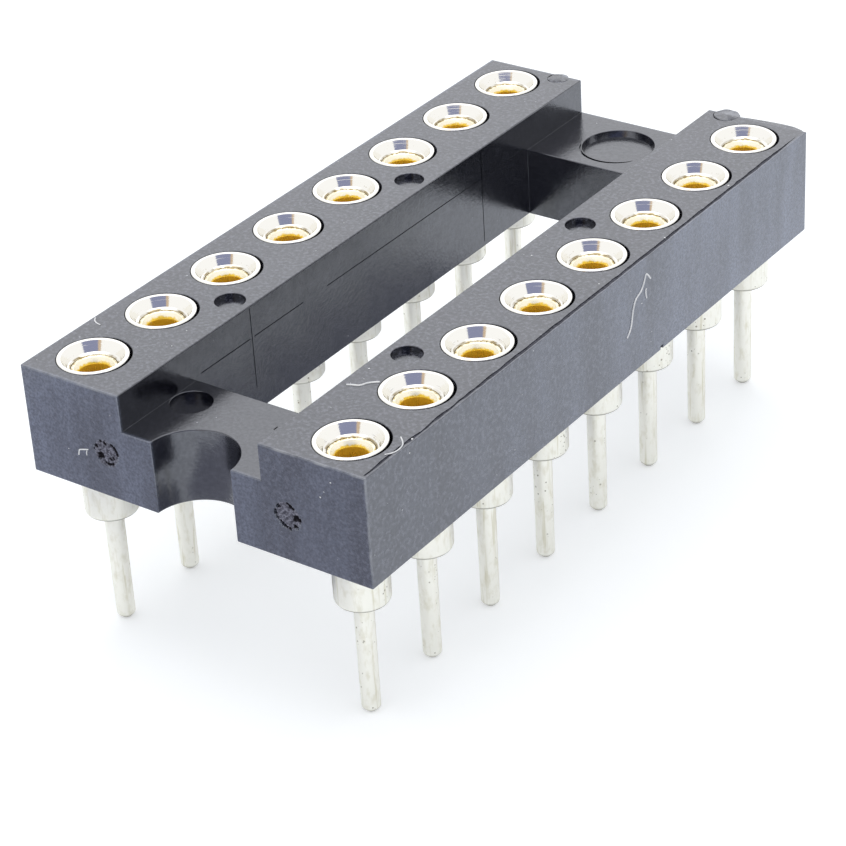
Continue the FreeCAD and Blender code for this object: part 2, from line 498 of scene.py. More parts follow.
class Repeats:
    """Sets copies of a piece on the contacts' grid, round an axis, or scattered over a surface."""

    def __init__(self) -> None:
        """Build the three trees."""
        self.grid = self.grid_tree()
        self.ring = self.ring_tree()
        self.scatter = self.scatter_tree()

    @staticmethod
    def grid_tree() -> NodeTree:
        """A tree that stands one copy on each point of a grid."""
        tree = NodeTree("contact_grid", {
            "Piece": "Object", "Rows": "Int", "Columns": "Int",
            "Width": "Float", "Length": "Float", "Material": "Material",
        })
        grid = tree.add("GeometryNodeMeshGrid", {
            "Size X": tree.given["Width"], "Size Y": tree.given["Length"],
            "Vertices X": tree.given["Rows"], "Vertices Y": tree.given["Columns"],
        })
        tree.close(tree.copies(grid.outputs["Mesh"]))
        return tree

    @staticmethod
    def ring_tree() -> NodeTree:
        """A tree that turns copies evenly round an upright axis."""
        tree = NodeTree("finger_ring", {
            "Piece": "Object", "Count": "Int", "Axis": "Vector", "Material": "Material",
        })
        line = tree.add("GeometryNodeMeshLine", {"Count": tree.given["Count"], "Offset": (0.0, 0.0, 0.0)})
        index = tree.add("GeometryNodeInputIndex", {}).outputs[0]
        turn = tree.sum("MULTIPLY", index, tree.sum("DIVIDE", math.tau, tree.given["Count"]))
        angles = tree.add("ShaderNodeCombineXYZ", {"Z": turn}).outputs[0]
        moved = tree.add("GeometryNodeTransform", {
            "Geometry": tree.copies(line.outputs["Mesh"], Rotation=angles),
            "Translation": tree.given["Axis"],
        })
        tree.close(moved.outputs[0])
        return tree

    @staticmethod
    def scatter_tree() -> NodeTree:
        """A tree that scatters copies of varied size over the faces of a surface."""
        tree = NodeTree("dust_scatter", {
            "Surface": "Object", "Piece": "Object", "Density": "Float",
            "Smallest": "Float", "Largest": "Float", "Seed": "Int", "Material": "Material",
        })
        points = tree.add("GeometryNodeDistributePointsOnFaces", {
            "Mesh": tree.geometry("Surface"), "Density": tree.given["Density"], "Seed": tree.given["Seed"],
        })
        size = tree.add("FunctionNodeRandomValue", {
            "Min": tree.given["Smallest"], "Max": tree.given["Largest"], "Seed": tree.given["Seed"],
        }, data_type="FLOAT")
        turns, sizes = points.outputs["Rotation"], size.outputs["Value"]
        tree.close(tree.copies(points.outputs["Points"], Rotation=turns, Scale=sizes))
        return tree


class Shader(Nodes):
    """A material under construction, with patterns laid out in millimetres on Object coordinates."""

    def __init__(self, name: str) -> None:
        """Start a material.

        Args:
            name: The material's name.
        """
        self.material = new_material(name)
        super().__init__(self.material.node_tree)
        self.surface = self.add("ShaderNodeBsdfPrincipled", {})
        self.add("ShaderNodeOutputMaterial", {"Surface": self.surface.outputs[0]})
        self.coordinates = self.add("ShaderNodeTexCoord", {}).outputs["Object"]

    def place(self, stretch: Point = (1.0, 1.0, 1.0), shift: Point = (0.0, 0.0, 0.0)) -> Socket:
        """Object coordinates in millimetres, stretched and shifted."""
        scale = [part / METRES_PER_MM for part in stretch]
        inputs = {"Vector": self.coordinates, "Scale": scale, "Location": shift}
        return self.add("ShaderNodeMapping", inputs).outputs[0]

    def noise(
        self,
        size: float,
        stretch: Point = (1.0, 1.0, 1.0),
        detail: float = 2.0,
        shift: Point = (0.0, 0.0, 0.0),
    ) -> Socket:
        """Cloudy noise from 0 to 1.

        Args:
            size: The size of its clouds.
            stretch: How much finer it is along each axis.
            detail: How many finer layers it has.
            shift: Where the pattern starts.

        Returns:
            The noise as a socket.
        """
        return self.add("ShaderNodeTexNoise", {
            "Vector": self.place(stretch, shift), "Scale": 1.0 / size, "Detail": detail, "Roughness": 0.55,
        }).outputs["Fac"]

    def flecks(self, size: float, width: float, shift: Point = (0.0, 0.0, 0.0)) -> Socket:
        """Sparse round flecks, 1 inside and 0 outside.

        Args:
            size: How far apart they are.
            width: How wide the widest is, as a share of that distance.
            shift: Where the pattern starts.

        Returns:
            The flecks as a socket.
        """
        cells = self.add("ShaderNodeTexVoronoi", {
            "Vector": self.place(shift=shift), "Scale": 1.0 / size, "Randomness": 1.0,
        }).outputs
        chance = self.add("ShaderNodeSeparateColor", {"Color": cells["Color"]}).outputs[0]
        return self.sum("LESS_THAN", cells["Distance"], self.spread(chance, 0.55, 1.0, 0.0, width))

    def apart(self) -> Sequence[Socket]:
        """Each of the three coordinates in millimetres."""
        return self.add("ShaderNodeSeparateXYZ", {0: self.place()}).outputs

    def from_axis(self, row: float, pitch: float) -> Socket:
        """The distance from the axis of the nearest contact.

        Args:
            row: How far each row of contacts is from the middle.
            pitch: How far apart the contacts of a row are.

        Returns:
            The distance in millimetres.
        """
        x, y, _ = self.apart()
        across = self.sum("SUBTRACT", self.sum("ABSOLUTE", x), row)
        along = self.sum("WRAP", self.sum("ADD", y, pitch / 2), pitch / 2, -pitch / 2)
        squares = self.sum("ADD", self.sum("MULTIPLY", across, across), self.sum("MULTIPLY", along, along))
        return self.sum("SQRT", squares)

    def ripples(self, distance: Socket, width: float) -> Socket:
        """Noise that changes only with a distance, as a turning tool leaves it."""
        inputs = {"W": distance, "Scale": 1.0 / width, "Detail": 2.0}
        return self.add("ShaderNodeTexNoise", inputs, noise_dimensions="1D").outputs["Fac"]

    def spread(
        self, value: Socket, low: float, high: float, to_low: float = 0.0, to_high: float = 1.0,
    ) -> Socket:
        """Map a range of values to another, from 0 to 1 unless it is given, and hold it at its ends."""
        return self.add("ShaderNodeMapRange", {
            "Value": value, "From Min": low, "From Max": high, "To Min": to_low, "To Max": to_high,
        }).outputs["Result"]

    def multiply(self, first: Socket, second: Union[Socket, float]) -> Socket:
        """The product of two values."""
        return self.sum("MULTIPLY", first, second)

    def blend(self, share: Socket, first: Union[Socket, Colour], second: Union[Socket, Colour]) -> Socket:
        """Mix two colours by a share of the second."""
        return self.add("ShaderNodeMix", {"Factor": share, 6: first, 7: second}, data_type="RGBA").outputs[2]

    def relief(self, height: Socket, depth: float, below: Optional[Socket] = None) -> Socket:
        """Turn a height pattern into a bumpy surface.

        Args:
            height: The pattern, from 0 to 1.
            depth: How deep it is.
            below: The relief that it lies on.

        Returns:
            The surface's normal.
        """
        node = self.add("ShaderNodeBump", {
            "Height": height, "Distance": depth * METRES_PER_MM, "Strength": 1.0,
        })
        if below is not None:
            self.feed(node, {"Normal": below})
        return node.outputs[0]

    def dress(self, **inputs: Union[Socket, float, Colour]) -> Material:
        """Feed the surface's inputs, named with underscores for spaces, and give the material."""
        self.feed(self.surface, {name.replace("_", " "): value for name, value in inputs.items()})
        return self.material


@dataclass(frozen=True)
class GlossyMoulding:
    """Near-black glass-filled plastic with a glossy skin, flow marks and fine flecks of dust, with a painted
    sheen outside, painted shade between the rails' inner walls, and edges rubbed pale under painted
    highlights.
    """

    half_width: float
    half_length: float
    top: float
    slot_half_width: float
    dark: Colour = (0.0015, 0.0015, 0.0040)
    pale: Colour = (0.053, 0.054, 0.070)
    painted_sheen: Colour = (0.150, 0.172, 0.240)
    worn_and_highlit: Colour = (0.25, 0.255, 0.27)
    dust: Colour = (0.42, 0.43, 0.45)
    gloss: Colour = (0.87, 0.90, 1.0)
    roughness: tuple[float, float] = (0.17, 0.24)

    def painted_sheen_share(self, shader: Shader) -> Socket:
        """How strong the painted sheen is: strongest at the outer sides' far end, weaker on the end faces."""
        x, y, _ = shader.apart()
        across = shader.sum("ABSOLUTE", x)
        outside = shader.spread(across, self.half_width - 0.10, self.half_width - 0.01)
        # Painted sheen: it brightens towards the far end on the outer sides, and towards -X on the end faces.
        along = shader.spread(y, -9.0, 10.0, 0.16, 1.0)
        ahead = shader.sum("ABSOLUTE", y)
        ends = shader.spread(ahead, self.half_length - 0.10, self.half_length - 0.01)
        leftward = shader.spread(x, -self.half_width, self.half_width, 0.92, 0.44)
        bands = shader.spread(shader.noise(1.3, stretch=(1.0, 1.0, 0.25), detail=6.0), 0.36, 0.66, 0.40, 1.05)
        specked = shader.spread(shader.noise(0.06, detail=3.0, shift=(2.0, 5.0, 8.0)), 0.36, 0.64, 0.60, 1.30)
        thickest = shader.sum("MAXIMUM", shader.multiply(outside, along), shader.multiply(ends, leftward))
        return shader.multiply(thickest, shader.multiply(bands, specked))

    def wear_and_highlight_share(self, shader: Shader) -> Socket:
        """How far the end faces' edges are rubbed pale, with a painted highlight on top: 1 where an end face
        meets a side or the top, in patches.
        """
        x, y, z = shader.apart()
        side = shader.sum("SUBTRACT", self.half_width, shader.sum("ABSOLUTE", x))
        end = shader.sum("SUBTRACT", self.half_length, shader.sum("ABSOLUTE", y))
        over = shader.sum("ABSOLUTE", shader.sum("SUBTRACT", self.top, z))
        edge = shader.sum("MAXIMUM", end, shader.sum("MINIMUM", side, over))
        patches = shader.spread(shader.noise(0.6, detail=4.0, shift=(9.0, 4.0, 2.0)), 0.42, 0.62, 0.0, 0.75)
        return shader.multiply(shader.spread(edge, 0.025, 0.06, 1.0, 0.0), patches)

    def material(self) -> Material:
        """Build the material."""
        shader = Shader("glossy_moulding")
        flow = shader.noise(1.9, stretch=(1.0, 1.0, 0.3), detail=3.0)
        grain = shader.noise(0.10, detail=5.0)
        cloud = shader.noise(0.35, detail=4.0, shift=(3.0, 1.0, 7.0))
        across = shader.sum("ABSOLUTE", shader.apart()["X"])
        # Painted shade: the pale flow marks fade to 0.12 of their strength everywhere between the rails'
        # inner walls.
        slot_shade_factor = shader.spread(across, self.slot_half_width + 0.004, self.slot_half_width + 0.02, 0.12, 1.0)
        light = shader.spread(flow, 0.45, 0.70, 0.0, 0.25)
        light = shader.sum("MAXIMUM", light, shader.spread(grain, 0.51, 0.62))
        colour = shader.blend(shader.multiply(light, slot_shade_factor), self.dark, self.pale)
        # Painted sheen over the outer sides and the end faces.
        colour = shader.blend(self.painted_sheen_share(shader), colour, self.painted_sheen)
        # Edges rubbed pale, lightened further as a painted highlight along the end faces' edges.
        colour = shader.blend(self.wear_and_highlight_share(shader), colour, self.worn_and_highlit)
        flecks = shader.multiply(shader.flecks(0.26, 0.10), shader.spread(cloud, 0.48, 0.60, 0.0, 0.8))
        colour = shader.blend(flecks, colour, self.dust)
        return shader.dress(
            Base_Color=colour,
            Roughness=shader.spread(cloud, 0.3, 0.7, *self.roughness),
            IOR=1.7,
            Specular_IOR_Level=shader.spread(grain, 0.38, 0.62, 0.90, 1.08),
            Specular_Tint=self.gloss,
            Normal=shader.relief(grain, 0.0035, shader.relief(flow, 0.010)),
        )


@dataclass(frozen=True)
class TornMoulding:
    """The same plastic where it is torn: matt and mottled, with painted shade that turns its pits black."""

    face: float
    black: Colour = (0.016, 0.014, 0.020)
    dark: Colour = (0.070, 0.070, 0.094)
    pale: Colour = (0.290, 0.290, 0.360)

    def material(self) -> Material:
        """Build the material."""
        shader = Shader("torn_moulding")
        grain = shader.noise(0.065, detail=3.0)
        mottled = shader.blend(shader.spread(grain, 0.40, 0.66), self.dark, self.pale)
        # Painted shade: the surface fades to black from 0.008 to 0.032 behind the end face.
        deep = shader.spread(shader.apart()["Y"], self.face + 0.008, self.face + 0.032)
        return shader.dress(
            Base_Color=shader.blend(deep, mottled, self.black),
            Roughness=0.7,
            Specular_IOR_Level=0.2,
            Normal=shader.relief(grain, 0.012),
        )


@dataclass(frozen=True)
class CreasedMoulding:
    """The same plastic inside the hair-fine crease: matt and dark grey."""

    dark: Colour = (0.026, 0.027, 0.038)
    pale: Colour = (0.075, 0.077, 0.100)

    def material(self) -> Material:
        """Build the material."""
        shader = Shader("creased_moulding")
        grain = shader.noise(0.10, detail=3.0)
        return shader.dress(
            Base_Color=shader.blend(shader.spread(grain, 0.35, 0.65), self.dark, self.pale),
            Roughness=0.6,
            Specular_IOR_Level=0.25,
            Normal=shader.relief(grain, 0.004),
        )


@dataclass(frozen=True)
class TurnedTin:
    """Bright tin plate over turned brass: mirror-like in the head, matt and specked on the tail, with painted
    shade at its tip and under its shoulder and upright streaks that are partly painted reflection.
    """

    row: float
    pitch: float
    funnel_foot: float
    shoulder_foot: float
    bright: Colour = (0.95, 0.935, 0.89)
    matt: Colour = (0.84, 0.832, 0.77)
    stain: Colour = (0.60, 0.57, 0.44)
    pit: Colour = (0.22, 0.20, 0.15)
    shade: Colour = (0.24, 0.23, 0.20)
    brown: Colour = (0.30, 0.21, 0.06)
    head_roughness: float = 0.10
    tail_roughness: float = 0.38

    def material(self) -> Material:
        """Build the material."""
        shader = Shader("turned_tin")
        height = shader.apart()["Z"]
        reach = shader.from_axis(self.row, self.pitch)
        lines = shader.noise(0.5, stretch=(0.6, 0.6, 34.0), detail=2.0)
        cloud = shader.noise(0.16, stretch=(1.0, 1.0, 0.45), detail=5.0)
        tail_streak_noise = shader.noise(0.11, stretch=(1.0, 1.0, 0.06), detail=2.0, shift=(6.0, 3.0, 2.0))
        patch = shader.noise(0.7, detail=2.0, shift=(2.0, 8.0, 4.0))
        fine = shader.noise(0.03, detail=2.0, shift=(5.0, 2.0, 1.0))
        up = shader.spread(height, 4.2, 6.6)
        down = shader.spread(up, 0.0, 1.0, 1.0, 0.0)
        colour = shader.blend(up, self.matt, self.bright)
        stains = shader.multiply(shader.spread(cloud, 0.50, 0.68, 0.0, 0.42), down)
        colour = shader.blend(stains, colour, self.stain)
        # Upright streaks down the tail: partly draw marks, partly a painted reflection of the streaks that
        # the round tail mirrors.
        marks_and_painted_streaks = shader.multiply(shader.spread(tail_streak_noise, 0.60, 0.70, 0.0, 0.60), down)
        colour = shader.blend(marks_and_painted_streaks, colour, self.stain)
        # Painted shade: the tip and a thin band round the foot of the shoulder are darkened.
        tip = shader.spread(height, 0.02, 0.16, 0.9, 0.0)
        above_foot = shader.sum("SUBTRACT", height, self.shoulder_foot + 0.03)
        brink = shader.spread(shader.sum("ABSOLUTE", above_foot), 0.02, 0.065, 0.95, 0.0)
        wide = shader.spread(reach, 0.30, 0.34)
        colour = shader.blend(shader.sum("MAXIMUM", tip, shader.multiply(brink, wide)), colour, self.shade)
        clusters = shader.multiply(shader.spread(patch, 0.50, 0.60, 0.0, 0.8), down)
        colour = shader.blend(shader.multiply(shader.flecks(0.085, 0.34), clusters), colour, self.pit)
        inside = shader.multiply(
            shader.spread(height, self.funnel_foot - 0.01, self.funnel_foot + 0.02),
            shader.spread(reach, 0.59, 0.62, 0.9, 0.0),
        )
        blotches = shader.spread(shader.noise(0.24, detail=2.0, shift=(1.0, 6.0, 3.0)), 0.40, 0.58, 0.15, 1.0)
        colour = shader.blend(shader.multiply(inside, blotches), colour, self.brown)
        round_foot = shader.multiply(shader.spread(reach, 0.61, 0.74, 0.55, 0.0), up)
        here = shader.spread(patch, 0.45, 0.6)
        specks = shader.multiply(shader.flecks(0.07, 0.36, (3.0, 7.0, 5.0)), here)
        colour = shader.blend(shader.multiply(specks, round_foot), colour, self.brown)
        rings = shader.multiply(shader.ripples(reach, 0.022), shader.spread(patch, 0.35, 0.65, 0.5, 4.0))
        scoured = shader.relief(shader.multiply(fine, down), 0.0012, shader.relief(rings, 0.0013))
        return shader.dress(
            Base_Color=colour,
            Metallic=1.0,
            Roughness=shader.spread(up, 0.0, 1.0, self.tail_roughness, self.head_roughness),
            Normal=shader.relief(shader.multiply(lines, down), 0.0035, scoured),
        )


@dataclass(frozen=True)
class SpringGold:
    """Bright gold plate on a stamped spring alloy, with a painted highlight on its lead-in and painted shade
    in its throat.
    """

    row: float
    pitch: float
    pale: Colour = (1.0, 0.94, 0.76)
    deep: Colour = (0.93, 0.635, 0.06)
    stain: Colour = (0.42, 0.30, 0.08)
    roughness: tuple[float, float] = (0.22, 0.36)

    def material(self) -> Material:
        """Build the material."""
        shader = Shader("spring_gold")
        reach = shader.from_axis(self.row, self.pitch)
        streaks = shader.noise(0.16, stretch=(1.0, 1.0, 0.3), detail=2.0)
        cloud = shader.noise(0.10, detail=3.0, shift=(4.0, 2.0, 9.0))
        wander = shader.sum("ADD", reach, shader.spread(cloud, 0.3, 0.7, -0.02, 0.02))
        # Painted light: the lead-in is a pale, whitish gold as its highlight, and the throat a deep amber as
        # its shade and the light that bounces in it; the throat is also half as metallic, so that it takes up
        # diffuse light.
        colour = shader.blend(shader.spread(wander, 0.395, 0.425), self.deep, self.pale)
        outer = shader.spread(wander, 0.50, 0.545, 0.0, 0.9)
        stains = shader.multiply(outer, shader.spread(cloud, 0.44, 0.56))
        colour = shader.blend(stains, colour, self.stain)
        return shader.dress(
            Base_Color=colour,
            Metallic=shader.spread(reach, 0.395, 0.42, 0.5, 1.0),
            Roughness=shader.spread(streaks, 0.3, 0.7, *self.roughness),
            Normal=shader.relief(streaks, 0.004),
        )


@dataclass(frozen=True)
class PaleLint:
    """White textile fibre and house dust."""

    white: Colour = (0.93, 0.93, 0.93)
    grey: Colour = (0.78, 0.79, 0.81)

    def material(self) -> Material:
        """Build the material."""
        shader = Shader("pale_lint")
        cloud = shader.noise(0.15, detail=2.0)
        colour = shader.blend(shader.spread(cloud, 0.35, 0.65), self.white, self.grey)
        return shader.dress(Base_Color=colour, Roughness=0.7, Normal=shader.relief(shader.noise(0.02), 0.003))


def finished(
    name: str,
    mesh: Mesh,
    material: Material,
    replaces: Sequence[str] = (),
    second: Optional[Material] = None,
) -> Item:
    """Bring a mesh to metres, shade it, and hand it to the frame.

    Args:
        name: The piece's name.
        mesh: Its mesh, in millimetres and in place.
        material: Its finish.
        replaces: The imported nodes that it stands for.
        second: A finish for the faces whose material number is 1.

    Returns:
        The piece.
    """
    mesh.name = name
    for vertex in mesh.vertices:
        vertex.co *= METRES_PER_MM
    numbers = [face.material_index if second else 0 for face in mesh.polygons]
    mesh.materials.clear()
    mesh.materials.append(material)
    if second:
        mesh.materials.append(second)
    mesh.polygons.foreach_set("material_index", numbers)
    mesh.shade_smooth()
    mesh.set_sharp_from_angle(angle=math.radians(SHARP_DEGREES))
    holder = linked(name, mesh)
    modifier = holder.modifiers.new("even_normals", "WEIGHTED_NORMAL")
    modifier.keep_sharp = True
    piece = linked(name, plain_mesh(holder))
    piece.name = name
    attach(piece, ROOT)
    if replaces:
        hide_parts(*replaces)
    LOG.info("%s: %d faces", name, len(piece.data.polygons))
    return piece


@dataclass(frozen=True)
class Nub:
    """A low round nub of plastic at the far end."""

    x: float
    y: float
    radius: float
    proud: float
    thickness: float
    groove: float


END_NUBS = (Nub(-2.70, 9.88, 0.30, 0.004, 0.45, 0.022), Nub(2.67, 10.00, 0.36, 0.004, 0.55, 0.03))


@dataclass(frozen=True)
class Gate:
    """A torn gate on the near end face: its centre, and its pits and lips."""

    name: str
    x: float
    z: float
    pits: tuple[Mark, ...]
    lips: tuple[Mark, ...]

    def depth(self, u: float, v: float) -> float:
        """How deep the surface lies at a place.

        Args:
            u: How far it is from the gate's centre along X.
            v: How far above the centre it is.

        Returns:
            The depth behind the end face, which is negative on a raised lip.
        """
        spot = Vector((u + self.x, v + self.z, 0.0))
        bend = 0.03 * noise.noise(spot * 14.0)
        deepest = 0.0
        for x, z, radius, depth in self.pits:
            away = math.hypot(u - x + bend, v - z - bend) / (radius * PIT_WIDTH)
            deepest = max(deepest, depth * math.exp(-away ** 4))
        raised = 0.0
        for x, z, radius, height in self.lips:
            away = math.hypot(u - x - bend, v - z + bend) / radius
            raised = max(raised, height * math.exp(-away ** 2))
        inside = min(max(POCKET - 0.01 - math.hypot(u, v), 0.0) / 0.10, 1.0)
        rough = 0.020 * inside * noise.fractal(spot * 20.0, 0.7, 2.0, 3)
        return deepest - raised + rough


GATES = (
    Gate("right", 2.78, 5.77, (
        (-0.29, 0.19, 0.045, 0.08), (-0.24, 0.22, 0.035, 0.06), (-0.35, 0.05, 0.04, 0.07),
        (-0.36, -0.02, 0.045, 0.08), (-0.32, -0.11, 0.04, 0.07), (-0.22, -0.20, 0.045, 0.07),
        (-0.15, -0.26, 0.055, 0.09), (-0.08, -0.29, 0.045, 0.08), (0.03, -0.32, 0.04, 0.07),
        (0.19, -0.22, 0.055, 0.09), (0.24, -0.23, 0.04, 0.07), (0.24, 0.03, 0.07, 0.12),
        (0.32, -0.01, 0.05, 0.09), (0.18, -0.04, 0.045, 0.08), (0.08, 0.29, 0.05, 0.08),
        (0.02, 0.34, 0.035, 0.07), (0.15, 0.25, 0.04, 0.07),
    ), (
        (-0.15, 0.08, 0.10, 0.015), (0.24, 0.15, 0.06, 0.02), (0.34, -0.15, 0.05, 0.018),
        (0.30, -0.27, 0.04, 0.015), (0.02, -0.10, 0.09, 0.014),
    )),
    Gate("left", -2.62, 5.77, (
        (-0.31, 0.13, 0.05, 0.08), (-0.38, 0.03, 0.035, 0.06), (-0.19, -0.09, 0.075, 0.12),
        (-0.24, -0.18, 0.05, 0.09), (-0.12, -0.12, 0.045, 0.08), (-0.05, -0.26, 0.035, 0.07),
        (0.02, -0.29, 0.04, 0.08), (0.09, -0.28, 0.04, 0.08), (0.16, -0.25, 0.04, 0.08),
        (0.12, -0.13, 0.035, 0.06), (0.20, -0.08, 0.04, 0.07), (0.34, 0.06, 0.05, 0.08),
        (0.31, 0.14, 0.045, 0.08), (0.26, 0.21, 0.045, 0.08), (0.19, 0.27, 0.04, 0.07),
        (-0.02, 0.26, 0.045, 0.08), (-0.16, 0.30, 0.04, 0.07),
    ), (
        (-0.10, 0.17, 0.05, 0.02), (0.10, 0.08, 0.10, 0.018), (0.36, -0.10, 0.04, 0.014),
        (0.28, -0.24, 0.04, 0.014), (-0.28, 0.02, 0.05, 0.014),
    )),
)


@dataclass
class Housing:
    """The moulding: two rails, two lower bridges, the slot and notch, the holes and the mould's marks."""

    turning: Turning
    repeats: Repeats
    contacts: Sequence[Contact]
    material: Material
    torn: Material
    creased: Material
    slot_half_width: float = 2.064
    bridge_drop: float = 0.98
    bridge_length: float = 2.83
    notch_radius: float = 1.18
    edge_round: float = 0.032
    inner_round: float = 0.006
    crisp_round: float = 0.012
    lip_round: float = 0.02
    head_gap: float = 0.04
    hole_clearance: float = 0.01
    shoulder_radius: float = 0.685
    head_seat_drop: float = 0.48
    hole_offset: Place = (0.012, 0.028)
    groove_width: float = 0.075
    groove_depth: float = 0.05
    groove_steps: int = 40
    witness_width: float = 0.028
    witness_depth: float = 0.03
    witness_height: float = 6.61
    crease_width: float = 0.105
    crease_depth: float = 0.022
    crease_steps: int = 90
    burr: tuple[Place, ...] = (
        (2.95, -0.02), (3.30, 0.08), (3.75, 0.15), (4.20, 0.19), (4.60, 0.18), (4.88, 0.09), (5.04, -0.04),
    )

    def __post_init__(self) -> None:
        """Read the outer box and the sleeves' heads from the frame."""
        self.low, self.high = node_box("housing")
        self.bridge_top = self.high.z - self.bridge_drop
        self.slot_end = self.high.y - self.bridge_length
        head_low, head_high = node_box(self.contacts[0].sleeve)
        self.head_radius = (head_high.x - head_low.x) / 2

    def rails_and_bridges(self) -> Mesh:
        """The plain form, as one closed skin over the filled cells of a coarse grid.

        Returns:
            The mesh.
        """
        levels = (
            (self.low.x, -self.slot_half_width, self.slot_half_width, self.high.x),
            (self.low.y, -self.slot_end, self.slot_end, self.high.y),
            (self.low.z, self.bridge_top, self.high.z),
        )
        cells = [cell for cell in product(range(3), range(3), range(2)) if self.filled(*cell)]
        shape = bmesh.new()
        corners = {}
        for cell, step, axis in product(cells, (0, 1), range(3)):
            beyond = [place + (2 * step - 1) * (i == axis) for i, place in enumerate(cell)]
            if tuple(beyond) in cells:
                continue
            face = []
            for ends in ([0, 0], [1, 0], [1, 1], [0, 1]):
                ends.insert(axis, step)
                corner = tuple(place + end for place, end in zip(cell, ends))
                if corner not in corners:
                    corners[corner] = shape.verts.new([row[i] for row, i in zip(levels, corner)])
                face.append(corners[corner])
            shape.faces.new(face)
        bmesh.ops.recalc_face_normals(shape, faces=shape.faces)
        bmesh.ops.dissolve_limit(shape, angle_limit=0.01, verts=shape.verts, edges=shape.edges)
        return meshed("rails", shape)

    @staticmethod
    def filled(i: int, j: int, k: int) -> bool:
        """Whether a cell of that grid is solid: the rails, and the lower half of the bridges."""
        return i != 1 or (j != 1 and k == 0)

    def softened(self, mesh: Mesh) -> Mesh:
        """Round every edge a little, and the inner corners less, as the mould leaves them.

        Args:
            mesh: The sharp form.

        Returns:
            The rounded form.
        """
        shape = bmesh.new()
        shape.from_mesh(mesh)
        weight = shape.edges.layers.float.new("bevel_weight_edge")
        near = self.high - Vector((0.01, 0.01, 0.01))
        for edge in shape.edges:
            turn = edge.calc_face_angle_signed(0.0)
            if abs(turn) <= math.radians(30):
                continue
            outer_top = all(abs(end.co.x) > near.x and end.co.z > near.z for end in edge.verts)
            size = self.edge_round if turn > 0.0 else self.inner_round
            edge[weight] = (self.crisp_round if outer_top else size) / self.edge_round
        holder = linked("softened", meshed("softened", shape))
        modifier = holder.modifiers.new("edges", "BEVEL")
        modifier.width = self.edge_round
        modifier.segments = 3
        modifier.limit_method = "WEIGHT"
        modifier.use_clamp_overlap = False
        return plain_mesh(holder)

    def sinking(
        self, radius: float, depth: float, surface: float, axis: Place,
        segments: int = 96, draft: float = 0.0,
    ) -> Mesh:
        """A cutter for a blind round recess with a rounded lip.

        Args:
            radius: The recess's radius.
            depth: Its depth.
            surface: The height of the face that it sinks into.
            axis: Where it is.
            segments: How many flat pieces make one round.
            draft: How much narrower its floor is.

        Returns:
            The closed cutter.
        """
        above = surface + 2 * FINE_SPARE
        points = [(0.0, surface - depth), (radius - draft, surface - depth), *self.lip(radius, surface)]
        points += [(radius + self.lip_round, above), (0.0, above)]
        return self.turning.turned("sinking", points, axis, segments)

    def lip(self, radius: float, surface: float) -> list[Place]:
        """The rounded lip of a hole, from its wall up and out to the face."""
        lip = self.lip_round
        turns = [math.pi / 2 * step / LIP_STEPS for step in range(LIP_STEPS + 1)]
        return [(radius + lip - lip * math.cos(turn), surface - lip + lip * math.sin(turn)) for turn in turns]

    def sleeve_holes(self) -> Mesh:
        """The cutters of all the stepped holes, one copy on each place of the contacts' grid."""
        wall = self.shoulder_radius + self.hole_clearance
        seat = self.head_radius + self.head_gap
        floor = self.high.z - self.head_seat_drop
        below, above = self.low.z - 2 * FINE_SPARE, self.high.z + 2 * FINE_SPARE
        points = [(0.0, below), (wall + self.lip_round, below)]
        points += [(r, 2 * self.low.z - z) for r, z in reversed(self.lip(wall, self.low.z))]
        points += [(wall, floor), (seat, floor), *self.lip(seat, self.high.z)]
        points += [(seat + self.lip_round, above), (0.0, above)]
        hole = self.turning.turned("hole", points)
        for vertex in hole.vertices:
            if vertex.co.z > floor + 0.01:
                vertex.co += Vector((*self.hole_offset, 0.0))
        cutter = linked("hole_cutter", hole)
        first, last = self.contacts[0], self.contacts[len(self.contacts) // 2]
        mesh = self.repeats.grid.run("holes", {
            "Piece": cutter, "Rows": 2, "Columns": len(self.contacts) // 2,
            "Width": abs(first.x - last.x), "Length": abs(first.y - last.y), "Material": self.material,
        })
        bpy.data.objects.remove(cutter)
        return mesh

    def recesses(self) -> list[Mesh]:
        """The mould's round marks in the rails and the bridges."""
        pitch = abs(self.contacts[1].y - self.contacts[0].y)
        first = self.contacts[0].y + 1.5 * pitch
        marks = []
        for y in (first, first + 3 * pitch):
            for side in (1.0, -1.0):
                place = (side * (self.slot_half_width + 0.60), y)
                marks.append(self.sinking(0.39, 0.15, self.high.z, place, 64))
        marks.append(self.sinking(0.52, 0.20, self.bridge_top, (-1.52, -8.14), 64, 0.02))
        far = (self.slot_end + self.high.y) / 2
        marks.append(self.sinking(1.0, 0.17, self.bridge_top, (0.0, far), draft=0.07))
        marks.append(self.near_lip_groove(1.0, (0.0, far)))
        return marks

    def near_lip_groove(self, radius: float, axis: Place) -> Mesh:
        """The fine groove along the near half of the far recess's lip.

        Args:
            radius: The recess's radius.
            axis: Where the recess is.

        Returns:
            Its closed cutter.
        """
        rings = []
        for step in range(self.groove_steps + 1):
            share = step / self.groove_steps
            turn = math.radians(200 + 125 * share)
            half = self.groove_width * math.sin(math.pi * share) ** 0.5 / 2 + 0.001
            middle = radius + self.lip_round + 0.012 + half
            rings.append([
                (axis[0] + r * math.cos(turn), axis[1] + r * math.sin(turn), self.bridge_top + up)
                for r, up in slot_corners(middle, half, self.groove_depth)
            ])
        return lofted("lip_groove", rings)

